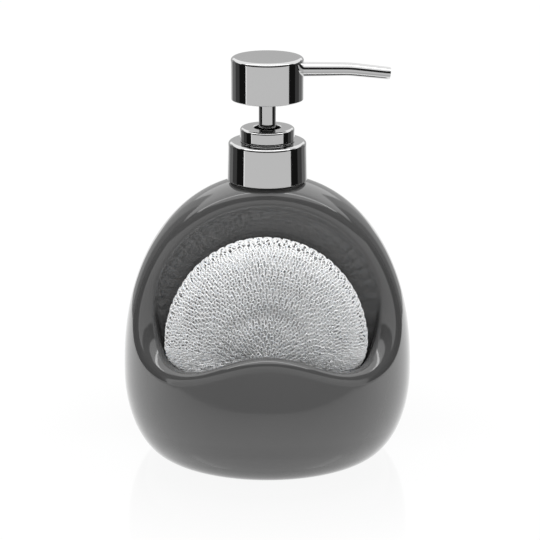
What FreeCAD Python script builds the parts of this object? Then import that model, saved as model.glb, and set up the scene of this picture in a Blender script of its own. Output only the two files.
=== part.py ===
import FreeCAD, Part
import math
import os

# Soap pump caddy: a glazed egg with a niche for a knitted scrubber and a lotion pump on top.
# Millimetres, +Z up, foot on Z = 0, pump axis on X = Y = 0, niche towards -Y, nozzle along +X.

V = FreeCAD.Vector
ORIGIN = V(0, 0, 0)
UP = V(0, 0, 1)

# Ceramic egg
BODY_WIDTH = 120.0
BODY_DEPTH = 102.0
EGG_HEIGHT = 118.7
BELLY_HEIGHT = 35.5
FOOT_TUCK = 18.0
CROWN_POWER = 2.21
CROWN_STEPS = 10
RESERVOIR_WALL = 4.5
FOOT_RING = 6.0
FOOT_RECESS_DEPTH = 1.5
LAND_DROP = 1.5
MOUTH_RADIUS = 9.7
MOUTH_WALL = 0.5
SHOULDER = 7.2
RELIEF = 6.0

# Niche in the front of the egg
NICHE_SIDE = 15.0
NICHE_FLOOR = 23.5
NICHE_CROWN = 10.2
NICHE_DISH = 5.5
NICHE_LIP = 8.0
NICHE_FRONT_POWER = 2.8
NICHE_BACK_POWER = 2.5
NICHE_STEPS = 8
PARTITION = 4.0
CUT_LEAD = 0.5
CUT_CROWN = 38.7
CUT_TURN_INSET = 6.5
LIP_HEIGHT = 45.8
LIP_WAVE = 11.0
LIP_WAVE_INSET = 3.0
LIP_WAVE_STEPS = 8
RIM_OUTER_ROUND = 3.4
RIM_INNER_ROUND = 2.9

# Threaded neck cemented in the mouth
NECK_RADIUS = 13.4
NECK_LENGTH = 11.3
NECK_BORE = 8.6
NECK_SPIGOT = 9.6
NECK_FLANGE_RADIUS = 14.0
NECK_FLANGE = 1.0
NECK_SPIGOT_LENGTH = 11.0
NECK_EDGE = 0.3

# Pump body
GASKET_RADIUS = 12.6
GASKET = 1.2
FLANGE = 1.5
SOCKET_RADIUS = 8.4
SOCKET_BORE = 7.5
SOCKET_LENGTH = 14.0
BARREL_RADIUS = 7.0
BARREL_BORE = 5.9
BARREL_LENGTH = 42.7
BARREL_TAPER = 2.0
BARREL_CLEAR = 0.5
TAIL_RADIUS = 4.3
TAIL_BORE = 3.05
TAIL_LENGTH = 10.0
CHAMBER_DEPTH = 9.0
CHAMBER_RADIUS = 3.0
CHAMBER_LIP = 2.15
CHAMBER_LIP_HEIGHT = 0.8
SEAT_RADIUS = 1.4
SEAT_DEPTH = 1.6
BALL_RADIUS = 2.4
BALL_CLEAR = 0.06
TUBE_RADIUS = 3.0
TUBE_BORE = 2.2
TUBE_CLEAR = 2.5
TUBE_INSET = 0.5
TUBE_SLANT = 45.0

# Stem guide and the chrome ring over it
GUIDE_RADIUS = 9.2
GUIDE_BORE = 3.6
GUIDE_LENGTH = 5.4
GUIDE_PLATE = 0.7
GUIDE_SKIRT_RADIUS = 7.4
GUIDE_SKIRT_BORE = 6.2
GUIDE_SKIRT_LENGTH = 12.5
RING_RADIUS = 11.15
RING_RISE = 2.75
RING_PLATE = 1.1
RING_HOLE = 5.4
RING_GAP = 0.2
RING_ROUND = 0.9
RING_HOLE_ROUND = 0.3

# Screw collar
COLLAR_FOOT_RADIUS = 16.4
COLLAR_TOP_RADIUS = 16.0
COLLAR_CLEAR = 0.6
COLLAR_LENGTH = 15.9
COLLAR_SHELL = 0.9
COLLAR_ROUND = 1.1
COLLAR_FOOT_ROUND = 0.2
COLLAR_HOLE = 9.45
LINER_BORE = 14.25
LINER_RAISE = 0.5
FIT = 0.05

# Plunger
STROKE = 11.0
STROKE_END = 0.7
STEM_RADIUS = 3.525
SLEEVE_BORE = 2.9
SLEEVE_PLAY = 0.4
SLEEVE_STEP = 2.8
STEM_TUBE_RADIUS = 2.85
STEM_TUBE_BORE = 1.6
STEM_TUBE_DROP = 8.4
PISTON_RADIUS = 5.85
PISTON_BORE = 2.95
PISTON_WAIST = 5.0
PISTON_PLAY = 0.6
PISTON_LENGTH = 6.5
PISTON_LIP = 1.4
PLUG_RADIUS = 4.2
PLUG_THICK = 1.9
PLUG_SPIGOT = 1.55
PLUG_SPIGOT_LENGTH = 5.5
SPRING_WIRE = 0.9
SPRING_RADIUS = 4.4
SPRING_LENGTH = 17.5
SPRING_TURNS = 6.0

# Head and nozzle
HEAD_RADIUS = 14.8
HEAD_LENGTH = 17.15
HEAD_WALL = 1.2
HEAD_PLATE = 1.5
HEAD_ROUND = 0.9
HEAD_FOOT_ROUND = 0.4
CORE_RAISE = 0.8
NOZZLE_DROP = 5.05
NOZZLE_ROOT = 8.0
NOZZLE_BEND = 33.3
NOZZLE_BEND_HALF = 2.4
NOZZLE_BEND_STEPS = 6
NOZZLE_TIP = 49.5
NOZZLE_DROOP = 6.1
NOZZLE_ROOT_RADIUS = 3.0
NOZZLE_TIP_RADIUS = 2.48
NOZZLE_WALL = 0.6

# Knitted scrubber
SCRUB_SIDE = 4.25
SCRUB_SAG = 24.5
SCRUB_SEAT = 6.7
SCRUB_HEAD = 9.2
SCRUB_ROOM = 11.0
SCRUB_BACK = 2.25
SCRUB_DIMPLE = 5.0
SCRUB_LEAN = 1.0
SCRUB_CROWN_SHARE = 0.55

# How far cutters run past what they cut
OVER = 6.0

# Egg and niche, from the outside sizes
EGG_RADIUS = BODY_WIDTH / 2
FOOT_RADIUS = EGG_RADIUS - FOOT_TUCK
FOOT_RECESS_RADIUS = FOOT_RADIUS - FOOT_RING
LAND_HEIGHT = EGG_HEIGHT - LAND_DROP
SHOULDER_INSIDE = LAND_HEIGHT - SHOULDER
NECK_RELIEF = SHOULDER_INSIDE - RELIEF
CAVITY_FACE = BARREL_RADIUS + BARREL_CLEAR
NICHE_WIDTH = BODY_WIDTH - 2 * NICHE_SIDE
NICHE_TOP = EGG_HEIGHT - NICHE_CROWN
NICHE_HEIGHT = NICHE_TOP - NICHE_FLOOR
NICHE_CENTRE = (NICHE_TOP + NICHE_FLOOR) / 2
NICHE_BACK = CAVITY_FACE + PARTITION
NICHE_MOUTH = NICHE_BACK + NICHE_DISH
NICHE_FRONT = BODY_DEPTH / 2 - NICHE_LIP
CAVITY_SHELF = NICHE_FLOOR - PARTITION
CUT_FACE = NICHE_MOUTH - CUT_LEAD
CUT_SHOULDER = EGG_HEIGHT - CUT_CROWN
CUT_TURN = BODY_DEPTH / 2 - CUT_TURN_INSET
LIP_WAVE_HALF = NICHE_WIDTH / 2 - LIP_WAVE_INSET

# Heights of the pump, stacked on the land of the egg
NECK_TOP = LAND_HEIGHT + NECK_LENGTH
GASKET_TOP = NECK_TOP + GASKET
FLANGE_TOP = GASKET_TOP + FLANGE
BARREL_FLOOR = round(GASKET_TOP - BARREL_LENGTH, 6)
TUBE_END = RESERVOIR_WALL + FOOT_RECESS_DEPTH + TUBE_CLEAR
GUIDE_TOP = FLANGE_TOP + GUIDE_LENGTH
GUIDE_SHELF = FLANGE_TOP - GUIDE_PLATE
RING_TOP = GUIDE_TOP + RING_RISE
COLLAR_BOTTOM = LAND_HEIGHT + COLLAR_CLEAR
COLLAR_TOP = COLLAR_BOTTOM + COLLAR_LENGTH
HEAD_BOTTOM = RING_TOP + STROKE + STROKE_END
HEAD_TOP = HEAD_BOTTOM + HEAD_LENGTH
NOZZLE_HEIGHT = HEAD_TOP - NOZZLE_DROP
STEM_TUBE_TOP = HEAD_TOP - STEM_TUBE_DROP
SLEEVE_TOP = STEM_TUBE_TOP - SLEEVE_STEP
PLUG_BOTTOM = BARREL_FLOOR + SPRING_LENGTH
PLUG_SEAT = PLUG_BOTTOM + PLUG_THICK
PISTON_BOTTOM = PLUG_SEAT + PISTON_PLAY
PISTON_TOP = PISTON_BOTTOM + PISTON_LENGTH
SLEEVE_BOTTOM = PISTON_TOP + SLEEVE_PLAY

# Scrubber, from the niche it sits in
SCRUB_WIDTH = NICHE_WIDTH - 2 * SCRUB_SIDE
SCRUB_THICK = NICHE_FRONT - NICHE_BACK - SCRUB_ROOM
SCRUB_CENTRE_Y = -NICHE_BACK - SCRUB_BACK - SCRUB_THICK / 2
SCRUB_CENTRE_Z = NICHE_FLOOR + SCRUB_SEAT + SCRUB_SAG
SCRUB_RISE = NICHE_TOP - SCRUB_HEAD - SCRUB_CENTRE_Z


def corner_points(before, corner, after, radius):
    """Start, middle and end of the arc that rounds one corner of a profile."""
    to_a = (before - corner).normalize()
    to_b = (after - corner).normalize()
    half = to_a.getAngle(to_b) / 2
    reach = radius / math.tan(half)
    middle = (to_a + to_b).normalize() * (radius / math.sin(half) - radius)
    return corner + to_a * reach, corner + middle, corner + to_b * reach


def profile(corners):
    """Closed wire in the XZ plane from (radius, height, rounding) corners."""
    spots = [V(r, 0, z) for r, z, _ in corners]
    count = len(corners)
    edges = []
    starts = []
    ends = []
    for i in range(count):
        radius = corners[i][2]
        if radius == 0:
            starts.append(spots[i])
            ends.append(spots[i])
            continue
        a, m, b = corner_points(spots[i - 1], spots[i], spots[(i + 1) % count], radius)
        starts.append(a)
        ends.append(b)
        edges.append(Part.Arc(a, m, b).toShape())
    for i in range(count):
        j = (i + 1) % count
        edges.append(Part.LineSegment(ends[i], starts[j]).toShape())
    return Part.Wire(Part.__sortEdges__(edges))


def turned(corners):
    """Solid turned about the pump axis from (radius, height) or (radius, height, rounding)."""
    full = [(c[0], c[1], c[2] if len(c) > 2 else 0) for c in corners]
    return Part.Face(profile(full)).revolve(ORIGIN, UP, 360)


def rod(radius, bottom, top):
    return Part.makeCylinder(radius, top - bottom, V(0, 0, bottom))


def flattened(shape, ratio):
    """The same shape pressed in along Y."""
    squeeze = FreeCAD.Matrix()
    squeeze.scale(1, ratio, 1)
    return shape.transformGeometry(squeeze)


def front_block(face, bottom, top):
    """Block that fills everything in front of an upright face between two heights."""
    return Part.makeBox(BODY_WIDTH, 2 * BODY_WIDTH, top - bottom,
                        V(-EGG_RADIUS, -face - 2 * BODY_WIDTH, bottom))


def crown_edge(radius, belly, top):
    """Upper half of the egg's outline, from the belly to the apex."""
    points = []
    for i in range(CROWN_STEPS + 1):
        turn = math.pi / 2 * i / CROWN_STEPS
        r = radius * max(math.cos(turn), 0) ** (2 / CROWN_POWER)
        z = belly + (top - belly) * math.sin(turn) ** (2 / CROWN_POWER)
        points.append(V(r, 0, z))
    points[-1] = V(0, 0, top)
    curve = Part.BSplineCurve()
    curve.interpolate(Points=points, InitialTangent=V(0, 0, 1), FinalTangent=V(-1, 0, 0))
    return curve.toShape()


def egg(width, depth, foot, floor, belly, top):
    """Egg standing on a flat of the given radius, pressed in from round to its depth."""
    radius = width / 2
    hip = V(radius, 0, belly)
    toe = V(foot, 0, floor)
    if belly - floor > radius - foot:
        oval = Part.Ellipse(toe, hip, V(foot, 0, belly))
    else:
        oval = Part.Ellipse(hip, toe, V(foot, 0, belly))
    ends = sorted([oval.parameter(toe), oval.parameter(hip)])
    heel = V(foot, 0, floor - OVER)
    root = V(0, 0, floor - OVER)
    edges = [
        Part.LineSegment(root, heel).toShape(),
        Part.LineSegment(heel, toe).toShape(),
        Part.ArcOfEllipse(oval, ends[0], ends[1]).toShape(),
        crown_edge(radius, belly, top),
        Part.LineSegment(V(0, 0, top), root).toShape(),
    ]
    face = Part.Face(Part.Wire(Part.__sortEdges__(edges)))
    face.rotate(ORIGIN, UP, 90)
    whole = flattened(face.revolve(ORIGIN, UP, 360), depth / width)
    return whole.cut(front_block(-BODY_DEPTH, floor - 2 * OVER, floor))


def lip_wave():
    """Rise of the lip across the width: a hump in the middle, level at the sides."""
    points = []
    for i in range(-LIP_WAVE_STEPS, LIP_WAVE_STEPS + 1):
        share = i / LIP_WAVE_STEPS
        rise = LIP_WAVE * (1 + math.cos(math.pi * share)) / 2
        points.append(V(share * LIP_WAVE_HALF, 0, rise))
    far = V(BODY_WIDTH, 0, 0)
    near = V(EGG_RADIUS, 0, 0)
    curve = Part.BSplineCurve()
    curve.interpolate([-far, -near] + points + [near, far])
    return curve


def cut_line():
    """Side view of the cut: upright face, then a turn forward to the lip."""
    poles = [
        V(0, -CUT_FACE, EGG_HEIGHT + OVER),
        V(0, -CUT_FACE, 2 * CUT_SHOULDER - LIP_HEIGHT),
        V(0, -CUT_FACE, LIP_HEIGHT),
        V(0, CUT_FACE - 2 * CUT_TURN, LIP_HEIGHT),
        V(0, -BODY_DEPTH, LIP_HEIGHT),
    ]
    curve = Part.BSplineCurve()
    curve.buildFromPolesMultsKnots(poles, [3, 1, 1, 3], [0, 1, 2, 3], False, 2)
    return curve


def front_cutter():
    """Everything in front of and above the cut line carried along the lip wave."""
    down = cut_line()
    across = lip_wave()
    poles = [[a + b for b in across.getPoles()] for a in down.getPoles()]
    sheet = Part.BSplineSurface()
    sheet.buildFromPolesMultsKnots(
        poles, down.getMultiplicities(), across.getMultiplicities(),
        down.getKnots(), across.getKnots(), False, False, down.Degree, across.Degree)
    return sheet.toShape().extrude(V(0, -BODY_WIDTH, BODY_WIDTH))


def oval_points(radius, start, reach, power):
    """Quarter oval from its pole on the axis out to its rim at the start plane."""
    points = []
    for i in range(NICHE_STEPS + 1):
        turn = math.pi / 2 * i / NICHE_STEPS
        r = radius * math.sin(turn) ** (2 / power)
        y = start + reach * max(math.cos(turn), 0) ** (2 / power)
        points.append(V(0, y, -r))
    points[-1] = V(0, start, -radius)
    return points


def niche():
    """The bowl that takes the scrubber: deep to the front, a shallow dish to the back."""
    radius = NICHE_WIDTH / 2
    front = oval_points(radius, -NICHE_MOUTH, NICHE_MOUTH - NICHE_FRONT, NICHE_FRONT_POWER)
    back = oval_points(radius, -NICHE_MOUTH, NICHE_MOUTH - NICHE_BACK, NICHE_BACK_POWER)
    line = Part.BSplineCurve()
    line.interpolate(Points=front + back[-2::-1], InitialTangent=V(0, 0, -1), FinalTangent=V(0, 0, 1))
    spine = Part.LineSegment(back[0], front[0]).toShape()
    section = Part.Face(Part.Wire(Part.__sortEdges__([line.toShape(), spine])))
    bowl = section.revolve(ORIGIN, V(0, 1, 0), 360)
    squeeze = FreeCAD.Matrix()
    squeeze.scale(1, 1, NICHE_HEIGHT / NICHE_WIDTH)
    bowl = bowl.transformGeometry(squeeze)
    bowl.translate(V(0, 0, NICHE_CENTRE))
    return bowl


def reservoir():
    """Soap space behind and under the niche, flat under the shoulder."""
    drawn_in = 2 * RESERVOIR_WALL
    space = egg(BODY_WIDTH - drawn_in, BODY_DEPTH - drawn_in, FOOT_RADIUS - RESERVOIR_WALL,
                RESERVOIR_WALL + FOOT_RECESS_DEPTH, BELLY_HEIGHT, EGG_HEIGHT - RESERVOIR_WALL)
    space = space.cut(front_block(CAVITY_FACE, CAVITY_SHELF, NECK_RELIEF))
    space = space.cut(front_block(MOUTH_RADIUS + MOUTH_WALL, NECK_RELIEF, EGG_HEIGHT))
    return space.cut(front_block(-BODY_DEPTH, SHOULDER_INSIDE, EGG_HEIGHT)).Solids[0]


def level_face(solid, height):
    """The level face of a solid at a height."""
    return min(solid.Faces, key=lambda f: abs(f.CenterOfMass.z - height) + abs(f.BoundBox.ZLength))


def with_mouth(outside, inside):
    """Joins the outside and the soap space into one wall through the round mouth."""
    bore = rod(MOUTH_RADIUS, SHOULDER_INSIDE, LAND_HEIGHT)
    land = level_face(outside, LAND_HEIGHT)
    ceiling = level_face(inside, SHOULDER_INSIDE)
    faces = [f for f in outside.Faces if not f.isSame(land)]
    faces += [f for f in inside.Faces if not f.isSame(ceiling)]
    faces += land.cut(level_face(bore, LAND_HEIGHT)).Faces
    faces += ceiling.cut(level_face(bore, SHOULDER_INSIDE)).Faces
    faces.append(max(bore.Faces, key=lambda f: f.BoundBox.ZLength))
    skin = Part.makeCompound(faces)
    skin.sewShape()
    return Part.Solid(skin.Shells[0])


def rim_edges(body, rings):
    """Edges of the rim on the front cut, once it has this many closed outlines."""
    band = min([f for f in body.Faces if len(f.Wires) == rings], key=lambda f: f.CenterOfMass.y)
    outlines = sorted(band.Wires, key=lambda w: w.Length)
    return outlines[0].Edges


def ceramic_body():
    shell = egg(BODY_WIDTH, BODY_DEPTH, FOOT_RADIUS, 0, BELLY_HEIGHT, EGG_HEIGHT)
    shell = shell.cut(front_cutter())
    shell = shell.cut(front_block(-BODY_DEPTH, LAND_HEIGHT, EGG_HEIGHT + OVER))
    shell = shell.makeFillet(RIM_OUTER_ROUND, rim_edges(shell, 1))
    shell = shell.cut(niche())
    shell = shell.makeFillet(RIM_INNER_ROUND, rim_edges(shell, 2))
    return with_mouth(shell.cut(foot_recess()).Solids[0], reservoir())


def foot_recess():
    """Shallow oval hollow under the foot, so that it stands on a ring."""
    centre = V(0, 0, -OVER)
    side = centre + V(FOOT_RECESS_RADIUS, 0, 0)
    back = centre + V(0, FOOT_RECESS_RADIUS * BODY_DEPTH / BODY_WIDTH, 0)
    oval = Part.Ellipse(side, back, centre) if BODY_WIDTH > BODY_DEPTH else Part.Ellipse(back, side, centre)
    return Part.Face(Part.Wire(oval.toShape())).extrude(V(0, 0, OVER + FOOT_RECESS_DEPTH))


def neck_insert():
    flange_top = LAND_HEIGHT + NECK_FLANGE
    return turned([
        (NECK_BORE, LAND_HEIGHT - NECK_SPIGOT_LENGTH),
        (NECK_SPIGOT, LAND_HEIGHT - NECK_SPIGOT_LENGTH),
        (NECK_SPIGOT, LAND_HEIGHT),
        (NECK_FLANGE_RADIUS, LAND_HEIGHT),
        (NECK_FLANGE_RADIUS, flange_top),
        (NECK_RADIUS, flange_top),
        (NECK_RADIUS, NECK_TOP, NECK_EDGE),
        (NECK_BORE, NECK_TOP),
    ])


def neck_gasket():
    return turned([
        (NECK_BORE, NECK_TOP), (GASKET_RADIUS, NECK_TOP),
        (GASKET_RADIUS, GASKET_TOP), (NECK_BORE, GASKET_TOP),
    ])


def pump_cylinder():
    socket_end = FLANGE_TOP - SOCKET_LENGTH
    barrel_top = socket_end - BARREL_TAPER
    tail_top = BARREL_FLOOR - CHAMBER_DEPTH
    seat_top = tail_top + FLANGE + SEAT_DEPTH
    lip = BARREL_FLOOR - CHAMBER_LIP_HEIGHT
    return turned([
        (SOCKET_BORE, FLANGE_TOP), (GASKET_RADIUS, FLANGE_TOP),
        (GASKET_RADIUS, GASKET_TOP), (SOCKET_RADIUS, GASKET_TOP),
        (SOCKET_RADIUS, socket_end), (BARREL_RADIUS, barrel_top),
        (BARREL_RADIUS, BARREL_FLOOR - FLANGE), (TAIL_RADIUS, BARREL_FLOOR - CHAMBER_RADIUS),
        (TAIL_RADIUS, tail_top - TAIL_LENGTH), (TAIL_BORE, tail_top - TAIL_LENGTH),
        (TAIL_BORE, tail_top), (SEAT_RADIUS, tail_top),
        (SEAT_RADIUS, tail_top + FLANGE), (CHAMBER_RADIUS, seat_top),
        (CHAMBER_RADIUS, lip), (CHAMBER_LIP, lip),
        (CHAMBER_LIP, BARREL_FLOOR), (BARREL_BORE, BARREL_FLOOR),
        (BARREL_BORE, barrel_top), (SOCKET_BORE, socket_end),
    ])


def inlet_ball():
    """Ball resting on the cone of the inlet seat."""
    tail_top = BARREL_FLOOR - CHAMBER_DEPTH
    slope = math.atan2(SEAT_DEPTH, CHAMBER_RADIUS - SEAT_RADIUS)
    apex = tail_top + FLANGE - SEAT_RADIUS * math.tan(slope)
    centre = apex + BALL_RADIUS / math.cos(slope) + BALL_CLEAR
    return Part.makeSphere(BALL_RADIUS, V(0, 0, centre))


def dip_tube():
    top = BARREL_FLOOR - CHAMBER_DEPTH - TUBE_INSET
    tube = rod(TUBE_RADIUS, TUBE_END, top).cut(rod(TUBE_BORE, TUBE_END - OVER, top + OVER))
    wedge = Part.makeBox(BODY_WIDTH, BODY_WIDTH, BODY_WIDTH, V(-EGG_RADIUS, 0, -BODY_WIDTH))
    wedge.rotate(ORIGIN, V(1, 0, 0), TUBE_SLANT)
    wedge.translate(V(0, -TUBE_RADIUS, TUBE_END))
    return tube.cut(wedge)


def chaplet():
    return turned([
        (GUIDE_SKIRT_BORE, FLANGE_TOP - GUIDE_SKIRT_LENGTH),
        (GUIDE_SKIRT_RADIUS, FLANGE_TOP - GUIDE_SKIRT_LENGTH),
        (GUIDE_SKIRT_RADIUS, FLANGE_TOP), (GUIDE_RADIUS, FLANGE_TOP),
        (GUIDE_RADIUS, GUIDE_TOP), (GUIDE_BORE, GUIDE_TOP),
        (GUIDE_BORE, GUIDE_SHELF), (GUIDE_SKIRT_BORE, GUIDE_SHELF),
    ])


def guide_ring():
    plate = RING_TOP - RING_PLATE
    return turned([
        (GUIDE_RADIUS + FIT, COLLAR_TOP + RING_GAP), (RING_RADIUS, COLLAR_TOP + RING_GAP),
        (RING_RADIUS, RING_TOP, RING_ROUND), (RING_HOLE, RING_TOP, RING_HOLE_ROUND),
        (RING_HOLE, plate), (GUIDE_RADIUS + FIT, plate),
    ])


def collar_side(height, inset):
    """Radius of the tapering collar at a height."""
    share = (height - COLLAR_BOTTOM) / (COLLAR_TOP - COLLAR_BOTTOM)
    return COLLAR_FOOT_RADIUS + (COLLAR_TOP_RADIUS - COLLAR_FOOT_RADIUS) * share - inset


def collar_shell():
    plate = COLLAR_TOP - COLLAR_SHELL
    return turned([
        (collar_side(COLLAR_BOTTOM, COLLAR_SHELL), COLLAR_BOTTOM),
        (COLLAR_FOOT_RADIUS, COLLAR_BOTTOM, COLLAR_FOOT_ROUND),
        (COLLAR_TOP_RADIUS, COLLAR_TOP, COLLAR_ROUND),
        (COLLAR_HOLE, COLLAR_TOP), (COLLAR_HOLE, plate),
        (collar_side(plate, COLLAR_SHELL), plate),
    ])


def collar_liner():
    bottom = COLLAR_BOTTOM + LINER_RAISE
    top = COLLAR_TOP - COLLAR_SHELL
    under = FLANGE_TOP + FIT
    return turned([
        (LINER_BORE, bottom), (collar_side(bottom, COLLAR_SHELL + FIT), bottom),
        (collar_side(top, COLLAR_SHELL + FIT), top), (COLLAR_HOLE, top),
        (COLLAR_HOLE, under), (LINER_BORE, under),
    ])


def piston():
    low = PISTON_BOTTOM + PISTON_LIP
    high = PISTON_TOP - PISTON_LIP
    return turned([
        (PISTON_BORE, PISTON_BOTTOM), (PISTON_RADIUS, PISTON_BOTTOM),
        (PISTON_RADIUS, low), (PISTON_WAIST, low),
        (PISTON_WAIST, high), (PISTON_RADIUS, high),
        (PISTON_RADIUS, PISTON_TOP), (PISTON_BORE, PISTON_TOP),
    ])


def stem_sleeve():
    return rod(STEM_RADIUS, SLEEVE_BOTTOM, SLEEVE_TOP).cut(
        rod(SLEEVE_BORE, SLEEVE_BOTTOM - OVER, SLEEVE_TOP + OVER))


def stem_tube():
    return rod(STEM_TUBE_RADIUS, PLUG_SEAT, STEM_TUBE_TOP).cut(
        rod(STEM_TUBE_BORE, PLUG_SEAT - OVER, STEM_TUBE_TOP + OVER))


def stem_plug():
    tip = PLUG_SEAT + PLUG_SPIGOT_LENGTH
    return turned([
        (0, PLUG_BOTTOM), (PLUG_RADIUS, PLUG_BOTTOM), (PLUG_RADIUS, PLUG_SEAT),
        (PLUG_SPIGOT, PLUG_SEAT), (PLUG_SPIGOT, tip), (0, tip),
    ])


def return_spring():
    """Wire coil between the barrel floor and the stem plug."""
    wire = SPRING_WIRE / 2
    bottom = BARREL_FLOOR + wire + FIT
    top = PLUG_BOTTOM - wire - FIT
    coil = Part.makeHelix((top - bottom) / SPRING_TURNS, top - bottom, SPRING_RADIUS)
    coil.translate(V(0, 0, bottom))
    ring = Part.Wire(Part.makeCircle(wire, V(SPRING_RADIUS, 0, bottom), V(0, 1, 0)))
    return Part.Wire(coil.Edges).makePipeShell([ring], True, True)


def head_shell():
    inner = HEAD_RADIUS - HEAD_WALL
    under = HEAD_TOP - HEAD_PLATE
    cap = turned([
        (0, under), (inner, under), (inner, HEAD_BOTTOM),
        (HEAD_RADIUS, HEAD_BOTTOM, HEAD_FOOT_ROUND),
        (HEAD_RADIUS, HEAD_TOP, HEAD_ROUND), (0, HEAD_TOP),
    ])
    return cap.cut(nozzle_bore(NOZZLE_ROOT_RADIUS + FIT, NOZZLE_ROOT))


def nozzle_bore(radius, start):
    """Level hole for the nozzle, out through the side of the head."""
    return Part.makeCylinder(radius, HEAD_RADIUS + OVER - start, V(start, 0, NOZZLE_HEIGHT), V(1, 0, 0))


def head_core():
    bottom = HEAD_BOTTOM + CORE_RAISE
    core = rod(HEAD_RADIUS - HEAD_WALL - FIT, bottom, HEAD_TOP - HEAD_PLATE - FIT)
    core = core.cut(rod(STEM_RADIUS + FIT, bottom - OVER, SLEEVE_TOP + FIT))
    core = core.cut(rod(STEM_TUBE_RADIUS + FIT, SLEEVE_TOP, STEM_TUBE_TOP + FIT))
    core = core.cut(rod(STEM_TUBE_BORE, STEM_TUBE_TOP, NOZZLE_HEIGHT))
    core = core.cut(nozzle_bore(STEM_TUBE_BORE, 0))
    return core.cut(nozzle_bore(NOZZLE_ROOT_RADIUS + FIT, NOZZLE_ROOT - FIT))


def nozzle_stations():
    """Centres, slopes and outer radii along the nozzle: straight, a short bend, straight again."""
    droop = math.radians(NOZZLE_DROOP)
    start = NOZZLE_BEND - NOZZLE_BEND_HALF
    run = NOZZLE_TIP - NOZZLE_BEND
    spots = [(NOZZLE_ROOT, 0, 0)]
    for i in range(NOZZLE_BEND_STEPS + 1):
        share = i / NOZZLE_BEND_STEPS
        fall = NOZZLE_BEND_HALF * math.tan(droop) * share ** 2
        spots.append((start + 2 * NOZZLE_BEND_HALF * share, fall, NOZZLE_DROOP * share))
    spots.append((NOZZLE_TIP, run * math.tan(droop), NOZZLE_DROOP))
    stations = []
    for x, fall, slope in spots:
        share = (x - NOZZLE_ROOT) / (NOZZLE_TIP - NOZZLE_ROOT)
        radius = NOZZLE_ROOT_RADIUS + (NOZZLE_TIP_RADIUS - NOZZLE_ROOT_RADIUS) * share
        stations.append((V(x, 0, NOZZLE_HEIGHT - fall), slope, radius))
    return stations


def nozzle_ring(centre, slope, radius):
    """Circle across the nozzle at one station."""
    ring = Part.Wire(Part.makeCircle(radius, ORIGIN, V(1, 0, 0)))
    ring.rotate(ORIGIN, V(0, 1, 0), slope)
    ring.translate(centre)
    return ring


def nozzle():
    outer = []
    inner = []
    for centre, slope, radius in nozzle_stations():
        outer.append(nozzle_ring(centre, slope, radius))
        inner.append(nozzle_ring(centre, slope, radius - NOZZLE_WALL))
    return Part.makeLoft(outer, True, True).cut(Part.makeLoft(inner, True, True))


def pad_half(start, height):
    """Skin of one half of the pad above or below its widest line, drawn out to its height."""
    radius = SCRUB_WIDTH / 2
    half = SCRUB_THICK / 2
    rise = V(0, half - SCRUB_DIMPLE, 0)
    brim = V(radius * SCRUB_CROWN_SHARE, half, 0)
    edge = V(radius, 0, 0)
    face = Part.BSplineCurve()
    face.interpolate(Points=[rise, brim, edge],
                     InitialTangent=V(1, 0, 0), FinalTangent=V(0, -1, 0))
    front = face.toShape()
    back = front.mirror(ORIGIN, V(0, 1, 0))
    line = Part.Wire(Part.__sortEdges__([front, back]))
    line.rotate(ORIGIN, V(0, 1, 0), start)
    squeeze = FreeCAD.Matrix()
    squeeze.scale(1, 1, height / radius)
    return line.revolve(ORIGIN, V(0, 1, 0), 180).transformGeometry(squeeze)


def scrubber():
    """Knitted pad with a gathered hollow in each face, rounder above than where it sits in the niche."""
    skin = Part.makeCompound(pad_half(180, SCRUB_RISE).Faces + pad_half(0, SCRUB_SAG).Faces)
    skin.sewShape()
    pad = Part.Solid(skin.Shells[0])
    if pad.Volume < 0:
        pad.reverse()
    pad.rotate(ORIGIN, V(1, 0, 0), -SCRUB_LEAN)
    pad.translate(V(0, SCRUB_CENTRE_Y, SCRUB_CENTRE_Z))
    return pad


PIECES = {
    "ceramic_body": ceramic_body,
    "neck_insert": neck_insert,
    "neck_gasket": neck_gasket,
    "pump_cylinder": pump_cylinder,
    "inlet_ball": inlet_ball,
    "dip_tube": dip_tube,
    "chaplet": chaplet,
    "guide_ring": guide_ring,
    "collar_shell": collar_shell,
    "collar_liner": collar_liner,
    "piston": piston,
    "stem_sleeve": stem_sleeve,
    "stem_tube": stem_tube,
    "stem_plug": stem_plug,
    "return_spring": return_spring,
    "head_shell": head_shell,
    "head_core": head_core,
    "nozzle": nozzle,
    "scrubber": scrubber,
}

os.makedirs("parts", exist_ok=True)
for name, make in PIECES.items():
    shape = make()
    if shape.ShapeType == "Compound" and len(shape.Solids) == 1:
        shape = shape.Solids[0]
    shape.exportStep("parts/" + name + ".step")
    print(name, shape.ShapeType, shape.isValid(), round(shape.Volume, 1))
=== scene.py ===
"""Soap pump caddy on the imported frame: glazed egg, knitted scrubber and chrome lotion pump."""
import math
import random

import bpy
import numpy as np
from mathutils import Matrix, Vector


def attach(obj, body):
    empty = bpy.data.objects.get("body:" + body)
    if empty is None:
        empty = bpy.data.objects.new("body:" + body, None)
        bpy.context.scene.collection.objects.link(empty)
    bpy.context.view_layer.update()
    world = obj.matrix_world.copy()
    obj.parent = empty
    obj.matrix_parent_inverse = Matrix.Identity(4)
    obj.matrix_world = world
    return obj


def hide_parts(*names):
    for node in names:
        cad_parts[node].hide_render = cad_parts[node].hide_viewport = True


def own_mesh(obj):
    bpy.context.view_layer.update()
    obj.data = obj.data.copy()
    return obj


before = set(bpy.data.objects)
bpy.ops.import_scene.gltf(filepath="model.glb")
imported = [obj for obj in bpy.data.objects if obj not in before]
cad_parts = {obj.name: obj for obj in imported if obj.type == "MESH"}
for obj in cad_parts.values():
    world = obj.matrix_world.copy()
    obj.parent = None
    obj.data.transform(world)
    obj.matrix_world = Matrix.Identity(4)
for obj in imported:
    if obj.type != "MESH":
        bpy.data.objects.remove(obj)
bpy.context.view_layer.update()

MM = 0.001
TINY = 1e-9

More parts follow.
